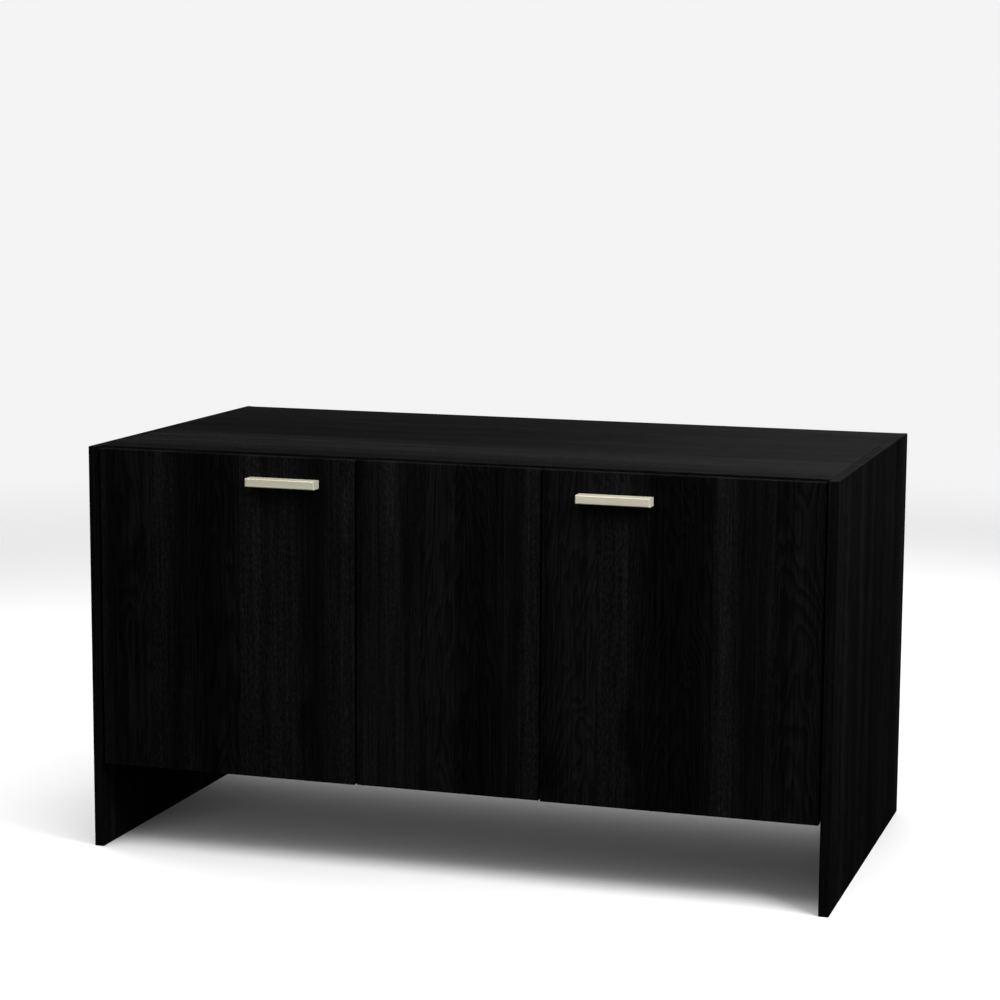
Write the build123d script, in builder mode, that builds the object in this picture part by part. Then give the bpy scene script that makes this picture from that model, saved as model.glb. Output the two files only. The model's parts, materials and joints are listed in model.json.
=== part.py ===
"""Aquarium stand cabinet: a black melamine-faced carcass on two side panels that reach the
floor, two inset doors beside a fixed centre panel, finger-pull handles and concealed hinges.

Row frame, millimetres: +X to the viewer's right, -Y towards the viewer, +Z up. The origin is
on the floor under the middle of the whole outline, handles included.
"""

import os

from build123d import *

# ---------------------------------------------------------------- driving dimensions
WIDTH = 1150.0  # over the side panels
SIDE_DEPTH = 610.0  # front to rear edge of a side panel
HEIGHT = 625.0
BOARD = 15.0  # melamine-faced board
LEG = 134.0  # floor to the underside of the bottom panel
BACK_BOARD = 3.0  # hardboard

DOOR_WIDTH = 412.0
DOOR_HEIGHT = 490.0
DOOR_RECESS = 2.0  # door face behind the side panels' front edges
GAP = 3.0  # round the doors
DOOR_CLEARANCE = 2.8  # between a closed door and the carcass behind it

HANDLE_LENGTH = 110.0
HANDLE_HEIGHT = 12.5
HANDLE_REACH = 21.0  # door face to handle front
HANDLE_CENTRES = 96.0  # between the two handle screws
HANDLE_X = 255.0
HANDLE_DROP = 41.0  # top of the cabinet to the middle of the handle
HANDLE_BEVEL = 1.1  # round the front face

EDGE_ROUND = 0.8  # rounded arris of a banded edge

# ---------------------------------------------------------------- places worked out from them
TOTAL_DEPTH = SIDE_DEPTH + HANDLE_REACH - DOOR_RECESS
REAR = TOTAL_DEPTH / 2
FRONT = REAR - SIDE_DEPTH  # side panels' front edges
DOOR_FRONT = FRONT + DOOR_RECESS
DOOR_BACK = DOOR_FRONT + BOARD
CARCASS_FRONT = DOOR_BACK + DOOR_CLEARANCE
CARCASS_REAR = REAR - BACK_BOARD

HALF = WIDTH / 2
INNER = HALF - BOARD  # side panels' inner faces
TOP_UNDER = HEIGHT - BOARD
BOTTOM_TOP = LEG + BOARD
DOOR_TOP = HEIGHT - GAP
DOOR_BOTTOM = DOOR_TOP - DOOR_HEIGHT
DOOR_OUTER = INNER - GAP
DOOR_INNER = DOOR_OUTER - DOOR_WIDTH
CENTRE_HALF = DOOR_INNER - GAP
HANDLE_Z = HEIGHT - HANDLE_DROP

LEFT, RIGHT, AWAY, TOWARDS = (-1, 0, 0), (1, 0, 0), (0, 1, 0), (0, -1, 0)
UP, DOWN = (0, 0, 1), (0, 0, -1)
FROM_FACE = (Align.CENTER, Align.CENTER, Align.MIN)

os.makedirs("parts", exist_ok=True)


def save(piece, name):
    """Label a finished piece and write it."""
    piece.label = name
    export_step(piece, f"parts/{name}.step")


def board(x_range, y_range, z_range, rounded=Axis.Z):
    """A rectangular board in the current part, its arrises along one axis (or all) rounded."""
    spans = [(low + high) / 2 for low, high in (x_range, y_range, z_range)]
    sizes = [high - low for low, high in (x_range, y_range, z_range)]
    with BuildSketch(Plane.XY.offset(z_range[0])) as outline:
        with Locations((spans[0], spans[1])):
            Rectangle(sizes[0], sizes[1])
    blank = extrude(outline.sketch, amount=sizes[2])
    arrises = blank.edges().filter_by(rounded) if rounded else blank.edges()
    fillet(arrises, EDGE_ROUND)


def drill(points, direction, radius, depth):
    """Blind or through holes from points on a face of the current part."""
    for point in points:
        with Locations(Plane(point, z_dir=direction)):
            Cylinder(radius, depth, align=FROM_FACE, mode=Mode.SUBTRACT)


def cross_slot(length, width, depth):
    """A screwdriver cross, sunk at the current location along its Z."""
    Box(length, width, 2 * depth, mode=Mode.SUBTRACT)
    Box(width, length, 2 * depth, mode=Mode.SUBTRACT)


# ---------------------------------------------------------------- joint fittings
CAM_RADIUS, CAM_HEIGHT, CAM_REACH = 7.4, 12.3, 34.0
CAM_BORE_RADIUS, CAM_BORE_DEPTH = 7.5, 12.5
CAM_MOUTH, CAM_HOLLOW_RADIUS = 7.6, 4.2  # opening for the bolt's head
CAM_CROSS = (8.0, 1.3, 2.0)  # length, width and depth, as for every cross below
BOLT_THREAD, BOLT_THREAD_RADIUS = 11.0, 2.6
BOLT_POINT = 1.0
BOLT_COLLAR, BOLT_COLLAR_RADIUS = 1.6, 3.7
BOLT_SHANK_RADIUS, BOLT_NECK_RADIUS, BOLT_HEAD_RADIUS = 2.4, 1.6, 3.1
BOLT_NECK, BOLT_HEAD_BACK, BOLT_HEAD_FRONT = 5.0, 1.6, 0.8  # measured from the cam's middle
BOLT_TAPER = 0.8
BOLT_BORE_RADIUS = 4.0
DOWEL_RADIUS, DOWEL_IN_FACE, DOWEL_IN_EDGE = 3.95, 10.0, 20.0
DOWEL_BEVEL = 1.0
FIT = 0.05  # radial room round fasteners and dowels

CAM_INSET, DOWEL_INSET = 60.0, 110.0
CAM_Y = (CARCASS_FRONT + CAM_INSET, CARCASS_REAR - CAM_INSET)
DOWEL_Y = (CARCASS_FRONT + DOWEL_INSET, CARCASS_REAR - DOWEL_INSET)
SHELF_Z = (LEG + BOARD / 2, HEIGHT - BOARD / 2)  # middles of the bottom and top panels
FRONT_CAM_Z = (250.0, 510.0)
FRONT_DOWEL_Z = (310.0, 450.0)
FRONT_DOWEL_X = (-100.0, 100.0)

# Every connection runs from a face, along a direction, into the end of the panel that the
# face meets. Each entry is (point on the face, direction, side the cam is turned from).
side_connections = [
    ((side * INNER, y, z), (-side, 0, 0), DOWN) for side in (-1, 1) for z in SHELF_Z for y in CAM_Y
]
upright_connections = [
    ((0, y, z), direction, LEFT)
    for z, direction in ((BOTTOM_TOP, UP), (TOP_UNDER, DOWN))
    for y in CAM_Y
]
front_connections = [((0, CARCASS_FRONT, z), AWAY, LEFT) for z in FRONT_CAM_Z]
connections = side_connections + upright_connections + front_connections

side_dowels = [
    ((side * INNER, y, z), (-side, 0, 0)) for side in (-1, 1) for z in SHELF_Z for y in DOWEL_Y
]
upright_dowels = [
    ((0, y, z), direction)
    for z, direction in ((BOTTOM_TOP, UP), (TOP_UNDER, DOWN))
    for y in DOWEL_Y
]
front_dowels = [((0, CARCASS_FRONT, z), AWAY) for z in FRONT_DOWEL_Z]
front_dowels += [((x, CARCASS_FRONT, z), AWAY) for x in FRONT_DOWEL_X for z in SHELF_Z]


def opposite(direction):
    return tuple(-value for value in direction)


def cam_face(connection):
    """Point on the panel face where the cam of a connection is turned."""
    point, direction, side = connection
    middle = Vector(*point) + Vector(*direction) * CAM_REACH
    return middle + Vector(*side) * BOARD / 2


def drill_faces(bolts, dowels):
    """Thread and dowel holes in the face of the current part, opposite to the connections."""
    for point, direction, *_ in bolts:
        drill([point], opposite(direction), BOLT_THREAD_RADIUS + FIT, BOLT_THREAD + FIT)
    for point, direction in dowels:
        drill([point], opposite(direction), DOWEL_RADIUS + FIT, DOWEL_IN_FACE + FIT)


def drill_ends(bolts, dowels):
    """Bolt bores, cam bores and dowel holes in the end of the current part."""
    for connection in bolts:
        point, direction, side = connection
        drill([point], direction, BOLT_BORE_RADIUS, CAM_REACH)
        drill([cam_face(connection)], opposite(side), CAM_BORE_RADIUS, CAM_BORE_DEPTH)
    for point, direction in dowels:
        drill([point], direction, DOWEL_RADIUS + FIT, DOWEL_IN_EDGE + FIT)


# ---------------------------------------------------------------- back panel fixing
REBATE = 8.0  # width of the side panels' rear rebate
NAIL_RADIUS, NAIL_LENGTH = 0.8, 20.0
NAIL_HEAD_RADIUS, NAIL_HEAD = 1.8, 0.8
BACK_PLAY = 0.5  # round the back panels
BACK_OUTER = INNER + REBATE - BACK_PLAY
BACK_INNER = 0.4  # half the gap where the two back panels meet
BACK_BOTTOM, BACK_TOP = LEG + BACK_PLAY, HEIGHT - BACK_PLAY
NAILS_ACROSS, NAILS_UP = 5, 4
NAIL_X, NAIL_Z = (-520.0, -60.0), (180.0, 580.0)
PORT_WIDTH, PORT_HEIGHT, PORT_CORNER = 100.0, 60.0, 12.0
PORT_X, PORT_Z = 287.5, 550.0


def spread(low, high, count):
    """Evenly spaced places between two ends, the ends included."""
    return [low + (high - low) * step / (count - 1) for step in range(count)]


nail_columns = [(x, z) for x in (-INNER - REBATE / 2, -BOARD / 4) for z in spread(*NAIL_Z, NAILS_UP)]
nail_rows = [(x, z) for x in spread(*NAIL_X, NAILS_ACROSS) for z in SHELF_Z]
left_nails = nail_columns + nail_rows
nail_points = [(side * x, CARCASS_REAR, z) for side in (1, -1) for x, z in left_nails]

# ---------------------------------------------------------------- hinges
# A hinge is laid out in u, from the side panel's inner face, v, from the door's front face,
# and its own height. The door turns on one pin inside the cup, near the cup's outer rim, and
# a goose-neck arm reaches round the door's edge to that pin.
HINGE_INSET = 90.0
HINGE_Z = (DOOR_BOTTOM + HINGE_INSET, DOOR_TOP - HINGE_INSET)
PIVOT_U, PIVOT_V = 10.0, 5.2
PIN_RADIUS, PIN_HALF = 1.2, 9.2
PIN_RUNNING = 0.05
CUP_U = 23.5
CUP_BORE_RADIUS, CUP_BORE_DEPTH = 17.5, 12.6
CUP_RADIUS, CUP_INNER_RADIUS = 17.4, 16.5
CUP_DEPTH, CUP_FLOOR = 12.5, 0.5
BOSS_RADIUS, BOSS_FROM = 2.5, 5.4
FLANGE = 1.0
FLANGE_RADIUS, FLANGE_TRIM = 19.0, 18.0  # trimmed flat towards the door's edge
EAR_Z, EAR_U, EAR_RADIUS = 24.0, 6.0, 5.5
CUP_SCREW_RADIUS, CUP_SCREW_LENGTH = 1.7, 10.0
CUP_SCREW_HEAD, CUP_SCREW_HEAD_RADIUS = 1.4, 3.2
CUP_SCREW_CROSS = (3.6, 0.9, 0.8)

ARM_THICK = 2.6
NECK_HALF = 5.0
NECK_BARREL = 2.0
NECK_ROUND = 2.2
NECK_FLOOR_V = 3.3  # underside of the reach inside the cup
NECK_RISE_U = 21.9  # left face of the rise out of the cup
NECK_TOP_V = 17.9  # underside of the reach over the door's edge
ARM_U, ARM_WEB = 6.4, 2.4
ARM_HALF, ARM_WALL = 7.2, 1.2
ARM_WALL_V, ARM_END_V = 24.0, 72.0
ARM_WALL_LIFT = 0.6  # arm's walls clear of the plate's base
ARM_END_ROUND = 0.5
PLATE_V = 52.0
PLATE_BASE = 2.0
PLATE_WING_RADIUS = 7.0
PLATE_SCREW_Z = 16.0
SPINE_FROM_V, SPINE_TO_V = 28.0, 74.0
SPINE_HALF, SPINE_CORNER, SPINE_SETBACK = 5.8, 2.0, 0.2
PLATE_SCREW_RADIUS, PLATE_SCREW_LENGTH, PLATE_SCREW_POINT = 2.9, 11.0, 1.3
PLATE_SCREW_HEAD_RADIUS = 4.2
ARM_SCREW_V = (36.0, 62.0)
ARM_SCREW_RADIUS, ARM_SCREW_HEAD, ARM_SCREW_HEAD_RADIUS = 2.0, 2.0, 3.6
HINGE_SCREW_CROSS = (4.4, 1.0, 1.0)


def hinge_x(u):
    return -INNER + u


def hinge_y(v):
    return DOOR_FRONT + v


plate_screw_points = [
    (-INNER, hinge_y(PLATE_V), height + rise)
    for height in HINGE_Z
    for rise in (-PLATE_SCREW_Z, PLATE_SCREW_Z)
]
cup_screw_points = [
    (hinge_x(CUP_U + EAR_U), DOOR_BACK, height + rise)
    for height in HINGE_Z
    for rise in (-EAR_Z, EAR_Z)
]

# ---------------------------------------------------------------- carcass panels
with BuildPart() as left_side_panel:
    board((-HALF, -INNER), (FRONT, REAR), (0, HEIGHT), rounded=None)
    with Locations((-INNER, REAR, LEG)):
        Box(2 * REBATE, 2 * BACK_BOARD, HEIGHT, align=FROM_FACE, mode=Mode.SUBTRACT)
    drill_faces(side_connections[:4], side_dowels[:4])
    drill(plate_screw_points, LEFT, PLATE_SCREW_RADIUS + FIT, PLATE_SCREW_LENGTH + FIT)
    drill([p for p in nail_points if p[0] < -INNER], TOWARDS, NAIL_RADIUS + FIT, NAIL_LENGTH)
save(left_side_panel.part, "left_side_panel")

with BuildPart() as right_side_panel:
    mirror(left_side_panel.part, about=Plane.YZ)
save(right_side_panel.part, "right_side_panel")

with BuildPart() as top_panel:
    board((-INNER, INNER), (CARCASS_FRONT, CARCASS_REAR), (TOP_UNDER, HEIGHT), rounded=Axis.X)
    drill_ends([c for c in side_connections if c[0][2] > TOP_UNDER], [])
    drill_ends([], [d for d in side_dowels if d[0][2] > TOP_UNDER])
    drill_faces(upright_connections[2:], upright_dowels[2:])
    drill_ends([], [d for d in front_dowels if d[0][2] > TOP_UNDER])
    drill([p for p in nail_points if p[2] > TOP_UNDER], TOWARDS, NAIL_RADIUS + FIT, NAIL_LENGTH)
save(top_panel.part, "top_panel")

with BuildPart() as bottom_panel:
    board((-INNER, INNER), (CARCASS_FRONT, CARCASS_REAR), (LEG, BOTTOM_TOP), rounded=Axis.X)
    drill_ends([c for c in side_connections if c[0][2] < BOTTOM_TOP], [])
    drill_ends([], [d for d in side_dowels if d[0][2] < BOTTOM_TOP])
    drill_faces(upright_connections[:2], upright_dowels[:2])
    drill_ends([], [d for d in front_dowels if d[0][2] < BOTTOM_TOP])
    drill([p for p in nail_points if p[2] < BOTTOM_TOP], TOWARDS, NAIL_RADIUS + FIT, NAIL_LENGTH)
save(bottom_panel.part, "bottom_panel")

with BuildPart() as centre_partition:
    board((-BOARD / 2, BOARD / 2), (CARCASS_FRONT, CARCASS_REAR), (BOTTOM_TOP, TOP_UNDER))
    drill_ends(upright_connections + front_connections, upright_dowels + front_dowels[:2])
    inner_nails = [p for p in nail_points if abs(p[0]) < BOARD / 2]
    drill(inner_nails, TOWARDS, NAIL_RADIUS + FIT, NAIL_LENGTH)
save(centre_partition.part, "centre_partition")

with BuildPart() as centre_front_panel:
    board(
        (-CENTRE_HALF, CENTRE_HALF),
        (CARCASS_FRONT - BOARD, CARCASS_FRONT),
        (DOOR_BOTTOM, DOOR_TOP),
        rounded=None,
    )
    drill_faces(front_connections, front_dowels)
save(centre_front_panel.part, "centre_front_panel")

with BuildPart() as back_panel_left:
    with BuildSketch(Plane((0, REAR, 0), x_dir=RIGHT, z_dir=TOWARDS)):
        with Locations((-(BACK_OUTER + BACK_INNER) / 2, (BACK_BOTTOM + BACK_TOP) / 2)):
            Rectangle(BACK_OUTER - BACK_INNER, BACK_TOP - BACK_BOTTOM)
        with Locations((-PORT_X, PORT_Z)):
            RectangleRounded(PORT_WIDTH, PORT_HEIGHT, PORT_CORNER, mode=Mode.SUBTRACT)
    extrude(amount=BACK_BOARD)
    for x, z in left_nails:
        with Locations(Plane((x, REAR, z), z_dir=AWAY)):
            CounterBoreHole(NAIL_RADIUS + FIT, NAIL_HEAD_RADIUS + FIT, NAIL_HEAD + FIT, 2 * BACK_BOARD)
save(back_panel_left.part, "back_panel_left")

with BuildPart() as back_panel_right:
    mirror(back_panel_left.part, about=Plane.YZ)
save(back_panel_right.part, "back_panel_right")

# ---------------------------------------------------------------- carcass fittings
with BuildPart() as cam_pattern:
    # Axis along +Z from the face inwards, the bolt coming in from +X.
    Cylinder(CAM_RADIUS, CAM_HEIGHT, align=FROM_FACE)
    with Locations((0, 0, BOARD / 2)):
        mouth_align = (Align.MIN, Align.CENTER, Align.CENTER)
        Box(2 * CAM_RADIUS, CAM_MOUTH, CAM_MOUTH, align=mouth_align, mode=Mode.SUBTRACT)
        Cylinder(CAM_HOLLOW_RADIUS, CAM_MOUTH, mode=Mode.SUBTRACT)
    cross_slot(*CAM_CROSS)

with BuildPart() as bolt_pattern:
    # Thread below the face at Z = 0, head at the cam's middle.
    with BuildSketch(Plane.XZ):
        with BuildLine():
            Polyline(
                (0, -BOLT_THREAD),
                (BOLT_THREAD_RADIUS - BOLT_POINT, -BOLT_THREAD),
                (BOLT_THREAD_RADIUS, BOLT_POINT - BOLT_THREAD),
                (BOLT_THREAD_RADIUS, 0),
                (BOLT_COLLAR_RADIUS, 0),
                (BOLT_COLLAR_RADIUS, BOLT_COLLAR),
                (BOLT_SHANK_RADIUS, BOLT_COLLAR + BOLT_TAPER),
                (BOLT_SHANK_RADIUS, CAM_REACH - BOLT_NECK - BOLT_TAPER),
                (BOLT_NECK_RADIUS, CAM_REACH - BOLT_NECK),
                (BOLT_NECK_RADIUS, CAM_REACH - BOLT_HEAD_BACK - BOLT_TAPER),
                (BOLT_HEAD_RADIUS, CAM_REACH - BOLT_HEAD_BACK),
                (BOLT_HEAD_RADIUS, CAM_REACH + BOLT_HEAD_FRONT),
                (BOLT_NECK_RADIUS, CAM_REACH + BOLT_HEAD_FRONT + BOLT_TAPER),
                (0, CAM_REACH + BOLT_HEAD_FRONT + BOLT_TAPER),
                close=True,
            )
        make_face()
    revolve(axis=Axis.Z)

with BuildPart() as dowel_pattern:
    with Locations((0, 0, -DOWEL_IN_FACE)):
        Cylinder(DOWEL_RADIUS, DOWEL_IN_FACE + DOWEL_IN_EDGE, align=FROM_FACE)
    chamfer(dowel_pattern.edges().filter_by(GeomType.CIRCLE), DOWEL_BEVEL)

with BuildPart() as nail_pattern:
    # Driven along -Z, its flat head flush with the back.
    with Locations((0, 0, BACK_BOARD)):
        Cylinder(NAIL_HEAD_RADIUS, NAIL_HEAD, align=(Align.CENTER, Align.CENTER, Align.MAX))
    with Locations((0, 0, BACK_BOARD - NAIL_LENGTH)):
        Cylinder(NAIL_RADIUS, NAIL_LENGTH - NAIL_HEAD, align=FROM_FACE)

with BuildPart() as cam_lock_nuts:
    for connection in connections:
        _, direction, side = connection
        with Locations(Plane(cam_face(connection), x_dir=opposite(direction), z_dir=opposite(side))):
            add(cam_pattern.part)
save(cam_lock_nuts.part, "cam_lock_nuts")

with BuildPart() as cam_bolts:
    for point, direction, _ in connections:
        with Locations(Plane(point, z_dir=direction)):
            add(bolt_pattern.part)
save(cam_bolts.part, "cam_bolts")

with BuildPart() as wooden_dowels:
    for point, direction in side_dowels + upright_dowels + front_dowels:
        with Locations(Plane(point, z_dir=direction)):
            add(dowel_pattern.part)
save(wooden_dowels.part, "wooden_dowels")

with BuildPart() as back_panel_nails:
    for point in nail_points:
        with Locations(Plane(point, z_dir=AWAY)):
            add(nail_pattern.part)
save(back_panel_nails.part, "back_panel_nails")

# ---------------------------------------------------------------- doors
HANDLE_SCREW_RADIUS, HANDLE_SCREW_GRIP = 2.0, 8.0
HANDLE_SCREW_HEAD, HANDLE_SCREW_HEAD_RADIUS = 2.6, 4.0
HANDLE_SCREW_CROSS = (4.0, 1.0, 1.2)
HEAD_ROUND = 1.2  # of the screw heads and the bumpers
handle_screw_points = [
    (-HANDLE_X + side * HANDLE_CENTRES / 2, DOOR_BACK, HANDLE_Z) for side in (-1, 1)
]

with BuildPart() as left_door:
    board((-DOOR_OUTER, -DOOR_INNER), (DOOR_FRONT, DOOR_BACK), (DOOR_BOTTOM, DOOR_TOP), rounded=None)
    cup_points = [(hinge_x(CUP_U), DOOR_BACK, height) for height in HINGE_Z]
    drill(cup_points, TOWARDS, CUP_BORE_RADIUS, CUP_BORE_DEPTH)
    drill(cup_screw_points, TOWARDS, CUP_SCREW_RADIUS + FIT, CUP_SCREW_LENGTH + FIT)
    drill(handle_screw_points, TOWARDS, HANDLE_SCREW_RADIUS + FIT, BOARD)
save(left_door.part, "left_door")

with BuildPart() as right_door:
    mirror(left_door.part, about=Plane.YZ)
save(right_door.part, "right_door")

# ---------------------------------------------------------------- door furniture
HANDLE_WEB = 3.0  # top of the finger pull
HANDLE_LIP = 3.6  # front of the finger pull
HANDLE_CHEEK = 11.0  # solid ends that take the screws
HANDLE_RECESS_ROUND = 2.0
BUMPER_RADIUS, BUMPER_THICK, BUMPER_INSET = 4.0, 2.5, 12.0

with BuildPart() as left_handle:
    with BuildSketch(Plane.XY.offset(HANDLE_Z - HANDLE_HEIGHT / 2)):
        with Locations((-HANDLE_X, DOOR_FRONT - HANDLE_REACH / 2)):
            Rectangle(HANDLE_LENGTH, HANDLE_REACH)
    extrude(amount=HANDLE_HEIGHT)
    front_arrises = left_handle.faces().sort_by(Axis.Y)[0].edges()
    chamfer(front_arrises, HANDLE_BEVEL)
    recess_corner = (-HANDLE_X, DOOR_FRONT, HANDLE_Z + HANDLE_HEIGHT / 2 - HANDLE_WEB)
    with Locations(recess_corner):
        Box(
            HANDLE_LENGTH - 2 * HANDLE_CHEEK,
            HANDLE_REACH - HANDLE_LIP,
            HANDLE_HEIGHT,
            align=(Align.CENTER, Align.MAX, Align.MAX),
            mode=Mode.SUBTRACT,
        )
    recess_arrises = left_handle.edges().filter_by(Axis.Z).filter_by_position(
        Axis.X, -HANDLE_X - HANDLE_LENGTH / 2 + 1, -HANDLE_X + HANDLE_LENGTH / 2 - 1
    )
    fillet(recess_arrises.group_by(Axis.Y)[0], HANDLE_RECESS_ROUND)
    screw_seats = [(x, DOOR_FRONT, z) for x, _, z in handle_screw_points]
    drill(screw_seats, TOWARDS, HANDLE_SCREW_RADIUS + FIT, HANDLE_SCREW_GRIP + 1)
save(left_handle.part, "left_handle")

with BuildPart() as right_handle:
    mirror(left_handle.part, about=Plane.YZ)
save(right_handle.part, "right_handle")

with BuildPart() as left_handle_screws:
    for point in handle_screw_points:
        with Locations(Plane(point, z_dir=TOWARDS)):
            Cylinder(HANDLE_SCREW_RADIUS, BOARD + HANDLE_SCREW_GRIP, align=FROM_FACE)
        with Locations(Plane(point, z_dir=AWAY)):
            head = Cylinder(HANDLE_SCREW_HEAD_RADIUS, HANDLE_SCREW_HEAD, align=FROM_FACE)
            fillet(head.faces().sort_by(Axis.Y)[-1].edges(), HEAD_ROUND)
            with Locations((0, 0, HANDLE_SCREW_HEAD)):
                cross_slot(*HANDLE_SCREW_CROSS)
save(left_handle_screws.part, "left_handle_screws")

with BuildPart() as right_handle_screws:
    mirror(left_handle_screws.part, about=Plane.YZ)
save(right_handle_screws.part, "right_handle_screws")

with BuildPart() as left_door_bumpers:
    for height in SHELF_Z:
        place = Plane((-DOOR_INNER - BUMPER_INSET, DOOR_BACK, height), z_dir=AWAY)
        with Locations(place):
            disc = Cylinder(BUMPER_RADIUS, BUMPER_THICK, align=FROM_FACE)
            fillet(disc.faces().sort_by(Axis.Y)[-1].edges(), HEAD_ROUND)
save(left_door_bumpers.part, "left_door_bumpers")

with BuildPart() as right_door_bumpers:
    mirror(left_door_bumpers.part, about=Plane.YZ)
save(right_door_bumpers.part, "right_door_bumpers")


# ---------------------------------------------------------------- hinge pieces
def hinge_cup(height):
    """Pressed cup in the door, with bosses for the pin and a flange with two screw ears."""
    mouth = Plane((hinge_x(CUP_U), DOOR_BACK, height), x_dir=RIGHT, z_dir=TOWARDS)
    with BuildPart() as cup:
        with Locations(mouth):
            Cylinder(CUP_RADIUS, CUP_DEPTH, align=FROM_FACE)
            Cylinder(CUP_INNER_RADIUS, CUP_DEPTH - CUP_FLOOR, align=FROM_FACE, mode=Mode.SUBTRACT)
        for side in (-1, 1):
            start = (hinge_x(PIVOT_U), hinge_y(PIVOT_V), height + side * BOSS_FROM)
            with Locations(Plane(start, z_dir=(0, 0, side))):
                Cylinder(BOSS_RADIUS, CUP_RADIUS, align=FROM_FACE)
        with Locations(mouth):
            Cylinder(CUP_RADIUS, CUP_DEPTH, align=FROM_FACE, mode=Mode.INTERSECT)
        with BuildSketch(Plane((hinge_x(CUP_U), DOOR_BACK, height), x_dir=RIGHT, z_dir=AWAY)) as ears:
            Circle(FLANGE_RADIUS)
            with Locations((EAR_U, EAR_Z), (EAR_U, -EAR_Z)):
                Circle(EAR_RADIUS)
            make_hull()
            with Locations((-FLANGE_TRIM, 0)):
                Rectangle(FLANGE_RADIUS, 4 * EAR_Z, align=(Align.MAX, Align.CENTER), mode=Mode.SUBTRACT)
            Circle(CUP_INNER_RADIUS, mode=Mode.SUBTRACT)
            with Locations((EAR_U, EAR_Z), (EAR_U, -EAR_Z)):
                Circle(CUP_SCREW_RADIUS + FIT, mode=Mode.SUBTRACT)
        extrude(ears.sketch, amount=FLANGE)
        with Locations((hinge_x(PIVOT_U), hinge_y(PIVOT_V), height)):
            Cylinder(PIN_RADIUS, 2 * PIN_HALF, mode=Mode.SUBTRACT)
    return cup.part


def hinge_pin(height):
    """Pin that the cup holds and the arm turns on."""
    with BuildPart() as pin:
        with Locations((hinge_x(PIVOT_U), hinge_y(PIVOT_V), height)):
            Cylinder(PIN_RADIUS, 2 * PIN_HALF)
    return pin.part


def hinge_arm(height):
    """Goose-neck arm: out of the cup, round the door's edge and back along the side panel."""
    bar_u = NECK_RISE_U + ARM_THICK
    with BuildPart() as arm:
        with BuildSketch(Plane.XY.offset(height - NECK_HALF)) as neck:
            with BuildLine():
                Polyline(
                    (hinge_x(PIVOT_U), hinge_y(NECK_FLOOR_V)),
                    (hinge_x(bar_u), hinge_y(NECK_FLOOR_V)),
                    (hinge_x(bar_u), hinge_y(NECK_TOP_V + ARM_THICK)),
                    (hinge_x(ARM_U), hinge_y(NECK_TOP_V + ARM_THICK)),
                    (hinge_x(ARM_U), hinge_y(NECK_TOP_V)),
                    (hinge_x(NECK_RISE_U), hinge_y(NECK_TOP_V)),
                    (hinge_x(NECK_RISE_U), hinge_y(NECK_FLOOR_V + ARM_THICK)),
                    (hinge_x(PIVOT_U), hinge_y(NECK_FLOOR_V + ARM_THICK)),
                    close=True,
                )
            make_face()
            fillet(neck.vertices().group_by(Axis.X)[-1], NECK_ROUND)
            with Locations((hinge_x(PIVOT_U), hinge_y(PIVOT_V))):
                Circle(NECK_BARREL)
                Circle(PIN_RADIUS + PIN_RUNNING, mode=Mode.SUBTRACT)
        extrude(neck.sketch, amount=2 * NECK_HALF)
        with BuildSketch(Plane.XY.offset(height - ARM_HALF)) as web:
            with Locations((hinge_x(ARM_U), hinge_y(NECK_TOP_V))):
                Rectangle(ARM_WEB, ARM_END_V - NECK_TOP_V, align=(Align.MIN, Align.MIN))
        extrude(web.sketch, amount=2 * ARM_HALF)
        wall_u = PLATE_BASE + ARM_WALL_LIFT
        with BuildSketch(Plane.XY.offset(height - ARM_HALF)) as walls:
            with Locations((hinge_x(wall_u), hinge_y(ARM_WALL_V))):
                wall_height = ARM_U + ARM_WEB - wall_u
                Rectangle(wall_height, ARM_END_V - ARM_WALL_V, align=(Align.MIN, Align.MIN))
        extrude(walls.sketch, amount=ARM_WALL)
        extrude(walls.sketch.moved(Location((0, 0, 2 * ARM_HALF - ARM_WALL))), amount=ARM_WALL)
        screw_tops = [(hinge_x(ARM_U + ARM_WEB), hinge_y(v), height) for v in ARM_SCREW_V]
        drill(screw_tops, LEFT, ARM_SCREW_RADIUS + FIT, ARM_WEB + FIT)
        end_arrises = arm.edges().filter_by(Axis.X).group_by(Axis.Y)[-1]
        fillet(end_arrises, ARM_END_ROUND)
    return arm.part


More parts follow.
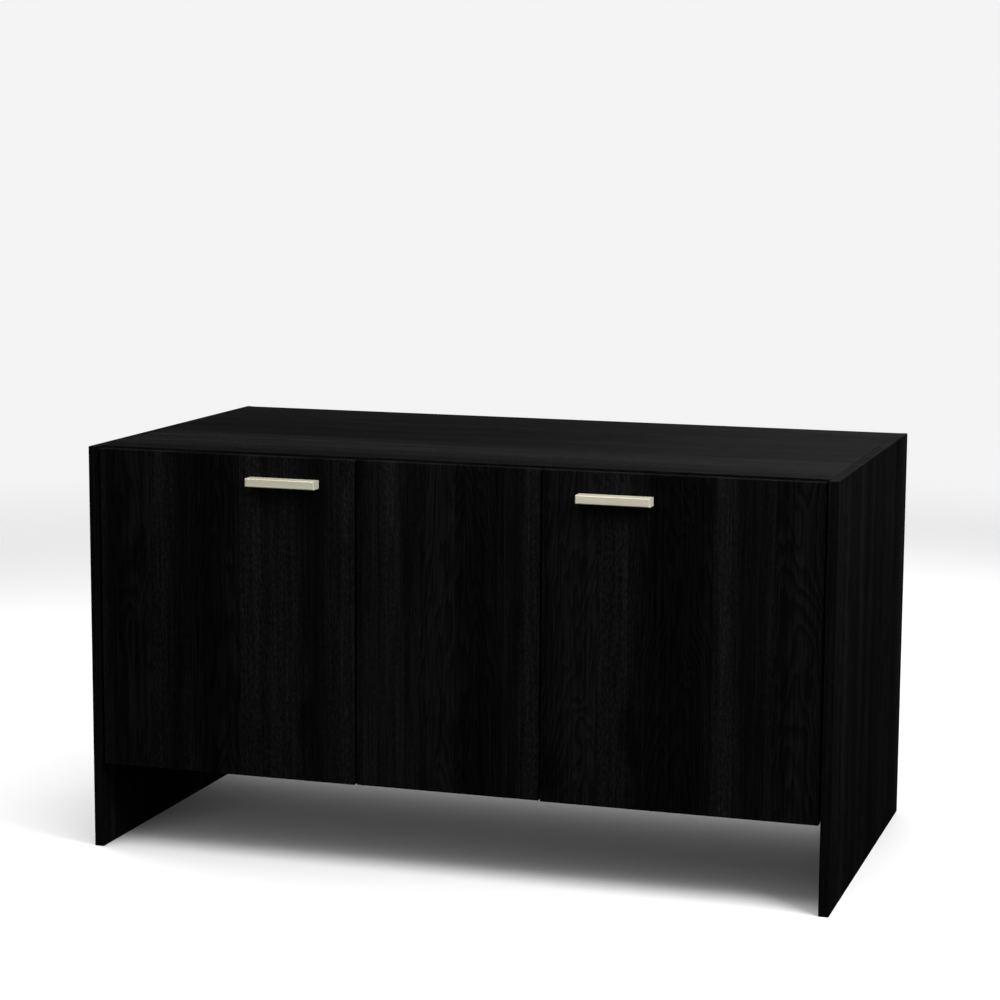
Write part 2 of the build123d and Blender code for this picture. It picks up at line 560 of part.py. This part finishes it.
def mounting_plate(height):
    """Plate on the side panel: two screw wings and a spine that the arm straps over."""
    panel_face = Plane((-INNER, hinge_y(PLATE_V), height), x_dir=AWAY, z_dir=RIGHT)
    spine_middle = ((SPINE_FROM_V + SPINE_TO_V) / 2 - PLATE_V, 0)
    spine_length, spine_width = SPINE_TO_V - SPINE_FROM_V, 2 * SPINE_HALF
    with BuildPart() as plate:
        with BuildSketch(panel_face) as base:
            with Locations((0, PLATE_SCREW_Z), (0, -PLATE_SCREW_Z)):
                Circle(PLATE_WING_RADIUS)
            make_hull()
            with Locations(spine_middle):
                RectangleRounded(spine_length, spine_width, SPINE_CORNER)
        extrude(base.sketch, amount=PLATE_BASE)
        with BuildSketch(panel_face) as spine:
            with Locations(spine_middle):
                RectangleRounded(spine_length, spine_width, SPINE_CORNER)
            offset(amount=-SPINE_SETBACK, mode=Mode.REPLACE)
        extrude(spine.sketch, amount=ARM_U)
        for rise in (-PLATE_SCREW_Z, PLATE_SCREW_Z):
            with Locations(Plane((hinge_x(PLATE_BASE), hinge_y(PLATE_V), height + rise), z_dir=RIGHT)):
                CounterSinkHole(PLATE_SCREW_RADIUS + FIT, PLATE_SCREW_HEAD_RADIUS + FIT, 2 * PLATE_BASE)
        screw_tops = [(hinge_x(ARM_U), hinge_y(v), height) for v in ARM_SCREW_V]
        drill(screw_tops, LEFT, ARM_SCREW_RADIUS + FIT, ARM_U)
    return plate.part


left_hinge_pieces = {"cup": hinge_cup, "pin": hinge_pin, "arm": hinge_arm, "plate": mounting_plate}
for level, height in zip(("lower", "upper"), HINGE_Z):
    for word, make_piece in left_hinge_pieces.items():
        left_piece = make_piece(height)
        save(left_piece, f"left_{level}_hinge_{word}")
        with BuildPart() as right_piece:
            mirror(left_piece, about=Plane.YZ)
        save(right_piece.part, f"right_{level}_hinge_{word}")

with BuildPart() as left_plate_screws:
    for point in plate_screw_points:
        with BuildSketch(Plane(point, x_dir=AWAY, z_dir=DOWN)) as half_screw:
            with BuildLine():
                Polyline(
                    (0, PLATE_BASE),
                    (PLATE_SCREW_HEAD_RADIUS, PLATE_BASE),
                    (PLATE_SCREW_RADIUS, PLATE_BASE + PLATE_SCREW_RADIUS - PLATE_SCREW_HEAD_RADIUS),
                    (PLATE_SCREW_RADIUS, PLATE_SCREW_POINT - PLATE_SCREW_LENGTH),
                    (PLATE_SCREW_RADIUS - PLATE_SCREW_POINT, -PLATE_SCREW_LENGTH),
                    (0, -PLATE_SCREW_LENGTH),
                    close=True,
                )
            make_face()
        revolve(half_screw.sketch, axis=Axis(point, RIGHT))
        with Locations(Plane((hinge_x(PLATE_BASE), point[1], point[2]), z_dir=RIGHT)):
            cross_slot(*HINGE_SCREW_CROSS)
save(left_plate_screws.part, "left_plate_screws")

with BuildPart() as left_arm_screws:
    for height in HINGE_Z:
        for v in ARM_SCREW_V:
            seat = (hinge_x(ARM_U + ARM_WEB), hinge_y(v), height)
            with Locations(Plane(seat, z_dir=LEFT)):
                Cylinder(ARM_SCREW_RADIUS, ARM_U, align=FROM_FACE)
            with Locations(Plane(seat, z_dir=RIGHT)):
                Cylinder(ARM_SCREW_HEAD_RADIUS, ARM_SCREW_HEAD, align=FROM_FACE)
                with Locations((0, 0, ARM_SCREW_HEAD)):
                    cross_slot(*HINGE_SCREW_CROSS)
save(left_arm_screws.part, "left_arm_screws")

with BuildPart() as left_cup_screws:
    for x, y, z in cup_screw_points:
        with Locations(Plane((x, y, z), z_dir=TOWARDS)):
            Cylinder(CUP_SCREW_RADIUS, CUP_SCREW_LENGTH, align=FROM_FACE)
        with Locations(Plane((x, y, z), z_dir=AWAY)):
            Cylinder(CUP_SCREW_RADIUS, FLANGE, align=FROM_FACE)
        with Locations(Plane((x, y + FLANGE, z), z_dir=AWAY)):
            Cylinder(CUP_SCREW_HEAD_RADIUS, CUP_SCREW_HEAD, align=FROM_FACE)
            with Locations((0, 0, CUP_SCREW_HEAD)):
                cross_slot(*CUP_SCREW_CROSS)
save(left_cup_screws.part, "left_cup_screws")

for left_group, name in (
    (left_plate_screws, "right_plate_screws"),
    (left_arm_screws, "right_arm_screws"),
    (left_cup_screws, "right_cup_screws"),
):
    with BuildPart() as right_group:
        mirror(left_group.part, about=Plane.YZ)
    save(right_group.part, name)
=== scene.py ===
"""Looks of the aquarium stand cabinet: black wood-grain boards, champagne handles, plated
hinges and fittings, on a pale floor under soft studio light. Metres, in the CAD frame."""

import json
import math

import bmesh
import bpy
from mathutils import Matrix, Vector


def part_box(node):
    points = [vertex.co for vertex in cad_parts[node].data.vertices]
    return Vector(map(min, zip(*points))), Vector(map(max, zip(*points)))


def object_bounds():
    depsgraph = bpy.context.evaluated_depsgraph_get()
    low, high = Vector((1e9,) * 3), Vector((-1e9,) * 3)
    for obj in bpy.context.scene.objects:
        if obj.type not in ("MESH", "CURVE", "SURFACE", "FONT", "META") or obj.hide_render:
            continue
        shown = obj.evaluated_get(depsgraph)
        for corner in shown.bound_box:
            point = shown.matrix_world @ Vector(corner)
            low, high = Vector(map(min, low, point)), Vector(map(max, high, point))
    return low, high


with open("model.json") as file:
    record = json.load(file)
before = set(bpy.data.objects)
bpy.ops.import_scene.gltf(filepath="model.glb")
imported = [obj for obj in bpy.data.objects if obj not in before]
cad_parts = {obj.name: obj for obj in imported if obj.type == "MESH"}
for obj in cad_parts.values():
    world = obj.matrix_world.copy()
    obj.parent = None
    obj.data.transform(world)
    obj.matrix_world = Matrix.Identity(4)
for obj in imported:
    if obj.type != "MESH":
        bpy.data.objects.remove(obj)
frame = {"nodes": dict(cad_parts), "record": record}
NODES = frame["nodes"]
cad_low, cad_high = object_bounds()
scene = bpy.context.scene

# ------------------------------------------------------------------ camera
# The lens looks down on the doors from the right. AIM is where its axis meets the plane of
# the side panels' front edges.
CAMERA_YAW = math.radians(17.68)
CAMERA_PITCH = math.radians(8.24)
CAMERA_ROLL = math.radians(0.34)
CAMERA_DISTANCE = 3.722
AIM_RIGHT, AIM_UP = 0.082, 0.575
FOCAL_MM, SENSOR_MM = 92.7, 36.0


def add_camera():
    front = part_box("left_side_panel")[0].y
    aim = Vector((AIM_RIGHT, front, AIM_UP))
    ahead = Vector(
        (
            -math.sin(CAMERA_YAW) * math.cos(CAMERA_PITCH),
            math.cos(CAMERA_YAW) * math.cos(CAMERA_PITCH),
            -math.sin(CAMERA_PITCH),
        )
    )
    level = Vector((math.cos(CAMERA_YAW), math.sin(CAMERA_YAW), 0))
    upright = level.cross(ahead)
    right = level * math.cos(CAMERA_ROLL) + upright * math.sin(CAMERA_ROLL)
    up = upright * math.cos(CAMERA_ROLL) - level * math.sin(CAMERA_ROLL)
    data = bpy.data.cameras.new("camera")
    data.lens = FOCAL_MM
    data.sensor_width = SENSOR_MM
    camera = bpy.data.objects.new("camera", data)
    scene.collection.objects.link(camera)
    turn = Matrix((right, up, -ahead)).transposed().to_4x4()
    camera.matrix_world = Matrix.Translation(aim - ahead * CAMERA_DISTANCE) @ turn
    scene.camera = camera


# ------------------------------------------------------------------ floor and light
FLOOR_HALF = 6.0
FLOOR_GREY, FLOOR_MOTTLE = 0.83, 0.006
FADE_FROM, FADE_TO = 1.5, 4.5  # distance from the middle of the cabinet
BACKDROP_RADIUS = 30.0
BACKDROP_GREY = 0.90
# Room light by height of the direction, from straight down to straight up.
ROOM_LIGHT = ((0.0, 0.06), (0.5, 0.10), (0.7, 0.50), (1.0, 0.90))
# name, place, size across and down, power in watts
SOFTBOXES = (
    ("key_softbox", (1.6, -0.75, 1.4), (1.0, 0.8), 37.0),
    ("front_softbox", (-0.7, -2.6, 0.8), (2.0, 1.0), 12.0),
    ("top_softbox", (-0.1, -0.85, 1.8), (2.0, 0.9), 14.0),
    ("left_softbox", (-2.4, 0.4, 1.4), (1.2, 1.0), 26.0),
    ("back_softbox", (0.4, 2.7, 1.6), (1.6, 1.2), 24.0),
)


def add_floor():
    """A pale floor that thins out away from the cabinet, so that no horizon shows.

    It throws no light back, because the bounce washed out the black panels near it.
    """
    mesh = bpy.data.meshes.new("floor")
    near, far = -FLOOR_HALF, FLOOR_HALF
    corners = [(near, near, 0), (far, near, 0), (far, far, 0), (near, far, 0)]
    mesh.from_pydata(corners, [], [(0, 1, 2, 3)])
    floor = bpy.data.objects.new("floor", mesh)
    scene.collection.objects.link(floor)
    graph = Graph("pale_floor")
    mottle = graph.noise(graph.place((6, 6, 6)), detail=3.0)
    dark, light = (FLOOR_GREY - FLOOR_MOTTLE,) * 3, (FLOOR_GREY + FLOOR_MOTTLE,) * 3
    tone = graph.ramp(mottle, (0.0, dark), (1.0, light))
    graph.shade(colour=tone, roughness=0.7, specular=0.15)
    distance = graph.new("ShaderNodeVectorMath", operation="LENGTH")
    graph.feed(distance.inputs[0], graph.object_place)
    clear = graph.new("ShaderNodeBsdfTransparent")
    blend = graph.new("ShaderNodeMixShader")
    graph.feed(blend.inputs["Fac"], graph.ease(distance.outputs["Value"], FADE_FROM, FADE_TO))
    graph.feed(blend.inputs[1], graph.shader.outputs["BSDF"])
    graph.feed(blend.inputs[2], clear.outputs["BSDF"])
    graph.feed(graph.tree.nodes["Material Output"].inputs["Surface"], blend.outputs["Shader"])
    mesh.materials.append(graph.material)
    floor.visible_diffuse = False
    floor.visible_glossy = False


def add_backdrop():
    """A pale dome all round. Only the lens sees it: it neither lights nor shades anything."""
    mesh = bpy.data.meshes.new("backdrop")
    shell = bmesh.new()
    bmesh.ops.create_icosphere(shell, subdivisions=3, radius=BACKDROP_RADIUS)
    shell.to_mesh(mesh)
    shell.free()
    dome = bpy.data.objects.new("backdrop", mesh)
    scene.collection.objects.link(dome)
    graph = Graph("backdrop")
    glow = (BACKDROP_GREY,) * 3
    graph.shade(colour=(0, 0, 0), specular=0.0, emission_color=glow, emission_strength=1.0)
    mesh.materials.append(graph.material)
    for ray in ("diffuse", "glossy", "transmission", "volume_scatter", "shadow"):
        setattr(dome, f"visible_{ray}", False)


def add_world():
    """Room light like a wide ceiling: bright overhead, dim at eye level and below."""
    world = bpy.data.worlds.new("studio")
    world.use_nodes = True
    tree = world.node_tree
    direction = tree.nodes.new("ShaderNodeTexCoord")
    height = tree.nodes.new("ShaderNodeSeparateXYZ")
    scaled = tree.nodes.new("ShaderNodeMapRange")
    scaled.inputs["From Min"].default_value = -1.0
    light = tree.nodes.new("ShaderNodeValToRGB")
    elements = light.color_ramp.elements
    while len(elements) < len(ROOM_LIGHT):
        elements.new(0.5)
    for element, (position, grey) in zip(elements, ROOM_LIGHT):
        element.position = position
        element.color = (grey, grey, grey, 1)
    tree.links.new(direction.outputs["Generated"], height.inputs[0])
    tree.links.new(height.outputs["Z"], scaled.inputs["Value"])
    tree.links.new(scaled.outputs["Result"], light.inputs["Fac"])
    tree.links.new(light.outputs["Color"], tree.nodes["Background"].inputs["Color"])
    scene.world = world


def add_lights():
    centre = (cad_low + cad_high) / 2
    for name, place, (width, height), power in SOFTBOXES:
        data = bpy.data.lights.new(name, "AREA")
        data.shape = "RECTANGLE"
        data.size = width
        data.size_y = height
        data.energy = power
        lamp = bpy.data.objects.new(name, data)
        scene.collection.objects.link(lamp)
        lamp.location = place
        lamp.rotation_euler = (centre - Vector(place)).to_track_quat("-Z", "Y").to_euler()
        lamp.visible_camera = False
    scene.view_settings.view_transform = "Standard"


# ------------------------------------------------------------------ node graphs
class Graph:
    """A material's node tree, with one short method for each kind of node it uses."""

    def __init__(self, name):
        self.material = bpy.data.materials.new(name)
        self.material.use_nodes = True
        self.tree = self.material.node_tree
        self.shader = self.tree.nodes["Principled BSDF"]
        self.object_place = self.new("ShaderNodeTexCoord").outputs["Object"]

    def new(self, kind, **settings):
        node = self.tree.nodes.new(kind)
        for key, value in settings.items():
            setattr(node, key, value)
        return node

    def feed(self, socket, value):
        """Set a socket to a number or colour, or link an output into it."""
        if isinstance(value, bpy.types.NodeSocket):
            self.tree.links.new(value, socket)
        else:
            socket.default_value = value

    def place(self, scales, offset=(0, 0, 0)):
        """Object coordinates, each axis scaled, then shifted."""
        node = self.new("ShaderNodeMapping")
        self.feed(node.inputs["Vector"], self.object_place)
        node.inputs["Scale"].default_value = scales
        node.inputs["Location"].default_value = offset
        return node.outputs["Vector"]

    def noise(self, vector, detail=2.0, roughness=0.5, distortion=0.0):
        node = self.new("ShaderNodeTexNoise")
        self.feed(node.inputs["Vector"], vector)
        node.inputs["Scale"].default_value = 1.0
        node.inputs["Detail"].default_value = detail
        node.inputs["Roughness"].default_value = roughness
        node.inputs["Distortion"].default_value = distortion
        return node.outputs["Fac"]

    def cells(self, place, scale, randomness):
        """Random strips along one line: each strip's random colour, and its middle's place."""
        node = self.new("ShaderNodeTexVoronoi", voronoi_dimensions="1D")
        self.feed(node.inputs["W"], place)
        node.inputs["Scale"].default_value = scale
        node.inputs["Randomness"].default_value = randomness
        return node.outputs["Color"], node.outputs["W"]

    def math(self, operation, first, second=0.0, clamp=False):
        node = self.new("ShaderNodeMath", operation=operation, use_clamp=clamp)
        self.feed(node.inputs[0], first)
        self.feed(node.inputs[1], second)
        return node.outputs[0]

    def weigh(self, *terms):
        """Sum of (value, weight) pairs, kept between 0 and 1."""
        total = 0.0
        for value, weight in terms:
            total = self.math("ADD", total, self.math("MULTIPLY", value, weight))
        return self.math("ADD", total, 0.0, clamp=True)

    def ease(self, value, low, high, to_low=0.0, to_high=1.0):
        """Map low..high smoothly to to_low..to_high."""
        node = self.new("ShaderNodeMapRange", interpolation_type="SMOOTHSTEP")
        self.feed(node.inputs["Value"], value)
        node.inputs["From Min"].default_value = low
        node.inputs["From Max"].default_value = high
        node.inputs["To Min"].default_value = to_low
        node.inputs["To Max"].default_value = to_high
        return node.outputs["Result"]

    def split(self, vector, kind="ShaderNodeSeparateXYZ"):
        node = self.new(kind)
        self.feed(node.inputs[0], vector)
        return node.outputs

    def ramp(self, value, *stops):
        node = self.new("ShaderNodeValToRGB")
        elements = node.color_ramp.elements
        while len(elements) < len(stops):
            elements.new(0.5)
        for element, (position, colour) in zip(elements, stops):
            element.position = position
            element.color = (*colour, 1)
        self.feed(node.inputs["Fac"], value)
        return node.outputs["Color"]

    def mix(self, factor, first, second):
        node = self.new("ShaderNodeMix", data_type="RGBA")
        self.feed(node.inputs["Factor"], factor)
        for socket, value in ((node.inputs[6], first), (node.inputs[7], second)):
            self.feed(socket, (*value, 1) if isinstance(value, tuple) else value)
        return node.outputs[2]

    def bump(self, height, distance, strength):
        node = self.new("ShaderNodeBump")
        self.feed(node.inputs["Height"], height)
        node.inputs["Distance"].default_value = distance
        node.inputs["Strength"].default_value = strength
        return node.outputs["Normal"]

    def shade(
        self, colour, roughness=None, metallic=None, specular=None, normal=None, **others
    ):
        """Feed the shader's own sockets. The others are named after the socket."""
        sockets = {
            "Base Color": colour,
            "Roughness": roughness,
            "Metallic": metallic,
            "Specular IOR Level": specular,
            "Normal": normal,
            **{key.replace("_", " ").title(): value for key, value in others.items()},
        }
        for name, value in sockets.items():
            if value is not None:
                value = (*value, 1) if isinstance(value, tuple) else value
                self.feed(self.shader.inputs[name], value)
        return self.material


# ------------------------------------------------------------------ materials
# Grey of the printed paper, from the darkest grain to the lightest.
GRAIN_GREYS = ((0.00, 0.0006), (0.35, 0.0022), (0.65, 0.0057), (1.00, 0.0147))
STAVES_PER_METRE, STAVE_UNEVENNESS = 12.0, 0.85
# How far each step of a board's seed moves its staves and its noise.
SEED_OVER, SEED_DOWN = 1.37, 2.11
SEED_SHIFT = (3.7, 5.3, 2.9)
# Growth rings per metre down a stave, their arch across it, and how many rings they wander.
RINGS_LEAST, RINGS_MORE = 6.0, 12.0
RING_ARCH = 1700.0
RING_WANDER = 15.0
BOARD_ROUGHNESS = (0.88, 0.78)
BOARD_SPECULAR = 0.007
BOARD_RELIEF = 0.00015

HARDBOARD_GROUND = (0.0075, 0.0069, 0.0064)
HARDBOARD_FLECK = (0.0230, 0.0200, 0.0170)
HARDBOARD_CLOUD = (0.0060, 0.0055, 0.0050)

CHAMPAGNE = ((0.42, 0.395, 0.29), (0.49, 0.465, 0.35))
CHAMPAGNE_STROKE = (0.62, 0.59, 0.485)
CHAMPAGNE_METALLIC = 0.2

# Name, darker and lighter colour, least and most roughness.
METALS = (
    ("nickel_plate", (0.60, 0.59, 0.56), (0.72, 0.71, 0.68), 0.34, 0.46),
    ("zinc_plate", (0.54, 0.56, 0.59), (0.66, 0.68, 0.71), 0.36, 0.50),
    ("zinc_casting", (0.36, 0.37, 0.39), (0.48, 0.49, 0.51), 0.45, 0.60),
)
PLATING_METALLIC = 0.75  # the rest scatters, so the fittings stay readable in the dark inside

BEECH = ((0.52, 0.34, 0.18), (0.66, 0.48, 0.29))
BEECH_RAY = (0.36, 0.21, 0.10)

BUMPER = ((0.62, 0.64, 0.64), (0.74, 0.75, 0.75))


def black_board(name, along, across, seed):
    """Black wood-grain melamine printed with staves: some plain and porous, some figured."""
    graph = Graph(name)
    places = graph.split(graph.object_place)
    over = graph.math("ADD", places["XYZ".index(across)], SEED_OVER * seed)
    down = graph.math("ADD", places["XYZ".index(along)], SEED_DOWN * seed)

    def grain(across_scale, along_scale, detail=2.0, roughness=0.5, distortion=0.0):
        scales = tuple(along_scale if axis == along else across_scale for axis in "XYZ")
        shift = tuple(seed * step for step in SEED_SHIFT)
        return graph.noise(graph.place(scales, shift), detail, roughness, distortion)

    # Each stave has a tone, a share of figure and a length of arch of its own.
    stave_colour, stave_middle = graph.cells(over, STAVES_PER_METRE, STAVE_UNEVENNESS)
    draws = graph.split(stave_colour, "ShaderNodeSeparateColor")
    stave_tone, stave_figure, stave_slant = draws[:3]
    figured = graph.ease(stave_figure, 0.46, 0.60)
    plain = graph.math("SUBTRACT", 1.0, figured)

    # Figure: growth rings under a slanted cut, which wanders enough to close into eyes.
    offset = graph.math("SUBTRACT", over, stave_middle)
    bow = graph.math("MULTIPLY", graph.math("MULTIPLY", offset, offset), RING_ARCH)
    slant = graph.math("ADD", graph.math("MULTIPLY", stave_slant, RINGS_MORE), RINGS_LEAST)
    rise = graph.math("MULTIPLY", down, slant)
    wander = graph.math("MULTIPLY", grain(17, 2.6, 3.0, 0.5, 0.4), RING_WANDER)
    phase = graph.math("FRACT", graph.math("ADD", graph.math("ADD", rise, bow), wander))
    rings = graph.math("MULTIPLY", graph.ease(phase, 0.0, 0.16), graph.ease(phase, 1.0, 0.30))
    eyes = graph.ease(grain(22, 6.5, 1.0, 0.4), 0.66, 0.78)

    # Layers that every stave shares, from broad to fine.
    bands = graph.ease(grain(15, 0.45, 1.5, 0.45, 0.2), 0.34, 0.64)
    clouds = graph.ease(grain(13, 2.4, 2.0, 0.5, 0.3), 0.32, 0.68)
    streaks = graph.ease(grain(140, 0.9, 3.0, 0.6, 0.15), 0.30, 0.70)
    fibres = graph.ease(grain(380, 8, 4.0, 0.7), 0.32, 0.68)
    stipple = graph.ease(grain(310, 130, 2.0, 0.6), 0.36, 0.64)
    pores = graph.ease(grain(1500, 60, 1.0), 0.58, 0.70)
    porous = graph.math("MULTIPLY", plain, graph.weigh((bands, 0.7), (1.0, 0.3)))

    tone = graph.weigh(
        (bands, 0.22),
        (stave_tone, 0.18),
        (clouds, 0.10),
        (streaks, 0.14),
        (fibres, 0.22),
        (graph.math("MULTIPLY", stipple, porous), 0.24),
        (graph.math("MULTIPLY", rings, figured), 0.19),
        (figured, -0.13),
        (eyes, -0.20),
        (pores, -0.10),
        (1.0, -0.04),
    )
    colour = graph.ramp(tone, *((place, (grey,) * 3) for place, grey in GRAIN_GREYS))
    relief = graph.weigh((fibres, 0.4), (stipple, 0.2), (pores, -0.5), (1.0, 0.4))
    roughness = graph.ease(fibres, 0.0, 1.0, *BOARD_ROUGHNESS)
    normal = graph.bump(relief, BOARD_RELIEF, 0.7)
    return graph.shade(colour, roughness, specular=BOARD_SPECULAR, normal=normal)


def hardboard(name, seed):
    """Black-lacquered hardboard: a faint fleck and a fine pressed-screen texture."""
    graph = Graph(name)
    shift = (seed * 2.3, 0, seed * 4.1)
    fleck = graph.noise(graph.place((260, 260, 260), shift), detail=3.0, roughness=0.6)
    cloud = graph.noise(graph.place((6, 6, 6), shift), detail=2.0)
    colour = graph.mix(graph.ease(fleck, 0.45, 0.70), HARDBOARD_GROUND, HARDBOARD_FLECK)
    colour = graph.mix(graph.ease(cloud, 0.3, 0.7, 0.0, 0.45), colour, HARDBOARD_CLOUD)
    weave = graph.noise(graph.place((900, 900, 900), shift), detail=1.0)
    normal = graph.bump(graph.math("ADD", fleck, weave), 0.00010, 0.6)
    return graph.shade(colour, roughness=0.62, specular=0.04, normal=normal)


def brushed_champagne():
    """Satin champagne-nickel pull: lengthwise brushing and slight tone drift."""
    graph = Graph("brushed_champagne")
    strokes = graph.noise(graph.place((14, 2600, 2600)), detail=3.0, roughness=0.6)
    drift = graph.noise(graph.place((9, 60, 60)), detail=2.0)
    colour = graph.mix(graph.ease(drift, 0.3, 0.7), *CHAMPAGNE)
    colour = graph.mix(graph.ease(strokes, 0.35, 0.65, 0.0, 0.5), colour, CHAMPAGNE_STROKE)
    roughness = graph.ease(strokes, 0.25, 0.75, 0.58, 0.46)
    normal = graph.bump(strokes, 0.00003, 0.6)
    return graph.shade(colour, roughness, CHAMPAGNE_METALLIC, normal=normal)


def plated_steel(name, colour_low, colour_high, rough_low, rough_high):
    """Plated or cast metal with cloudy colour and fine rolling marks."""
    graph = Graph(name)
    cloud = graph.noise(graph.place((180, 180, 180)), detail=3.0)
    marks = graph.noise(graph.place((900, 900, 900)), detail=2.0, roughness=0.6)
    colour = graph.mix(graph.ease(cloud, 0.3, 0.7), colour_low, colour_high)
    roughness = graph.ease(marks, 0.3, 0.7, rough_low, rough_high)
    normal = graph.bump(marks, 0.00002, 0.5)
    return graph.shade(colour, roughness, PLATING_METALLIC, normal=normal)


def beech():
    """Raw beech dowel: pale, with short rays."""
    graph = Graph("beech")
    rays = graph.noise(graph.place((700, 700, 700)), detail=2.0)
    cloud = graph.noise(graph.place((60, 60, 60)), detail=2.0)
    colour = graph.mix(graph.ease(cloud, 0.3, 0.7), *BEECH)
    colour = graph.mix(graph.ease(rays, 0.6, 0.75, 0.0, 0.5), colour, BEECH_RAY)
    return graph.shade(colour, roughness=0.7, normal=graph.bump(rays, 0.00008, 0.6))


def frosted_bumper():
    """Clear soft bumper, slightly cloudy."""
    graph = Graph("frosted_bumper")
    cloud = graph.noise(graph.place((400, 400, 400)), detail=2.0)
    colour = graph.mix(graph.ease(cloud, 0.3, 0.7), *BUMPER)
    normal = graph.bump(cloud, 0.00003, 0.4)
    return graph.shade(colour, roughness=0.35, normal=normal, transmission_weight=0.8)


def dress(node, material):
    """Give a CAD node its finish."""
    slots = NODES[node].data.materials
    slots.clear()
    slots.append(material)


# Node, the axis its grain runs along, the axis across its widest face, and its seed.
BOARDS = (
    ("left_side_panel", "Z", "Y", 76),
    ("right_side_panel", "Z", "Y", 176),
    ("left_door", "Z", "X", 217),
    ("right_door", "Z", "X", 123),
    ("centre_front_panel", "Z", "X", 454),
    ("centre_partition", "Z", "Y", 6),
    ("top_panel", "X", "Y", 7),
    ("bottom_panel", "X", "Y", 8),
)


def dress_all():
    for node, along, across, seed in BOARDS:
        dress(node, black_board(f"black_board_{node}", along, across, seed))
    for seed, node in enumerate(("back_panel_left", "back_panel_right"), start=1):
        dress(node, hardboard(f"hardboard_{node}", seed))
    champagne = brushed_champagne()
    nickel, zinc_plate, zinc_casting = (plated_steel(*metal) for metal in METALS)
    finishes = {
        "champagne_metal": champagne,
        "nickel_plated_steel": nickel,
        "zinc_plated_steel": zinc_plate,
        "zinc_casting": zinc_casting,
        "beech": beech(),
        "clear_bumper": frosted_bumper(),
    }
    for part in frame["record"]["subparts"]:
        if part["material_slot"] in finishes:
            dress(part["node"], finishes[part["material_slot"]])


add_camera()
add_floor()
add_backdrop()
add_world()
add_lights()
dress_all()
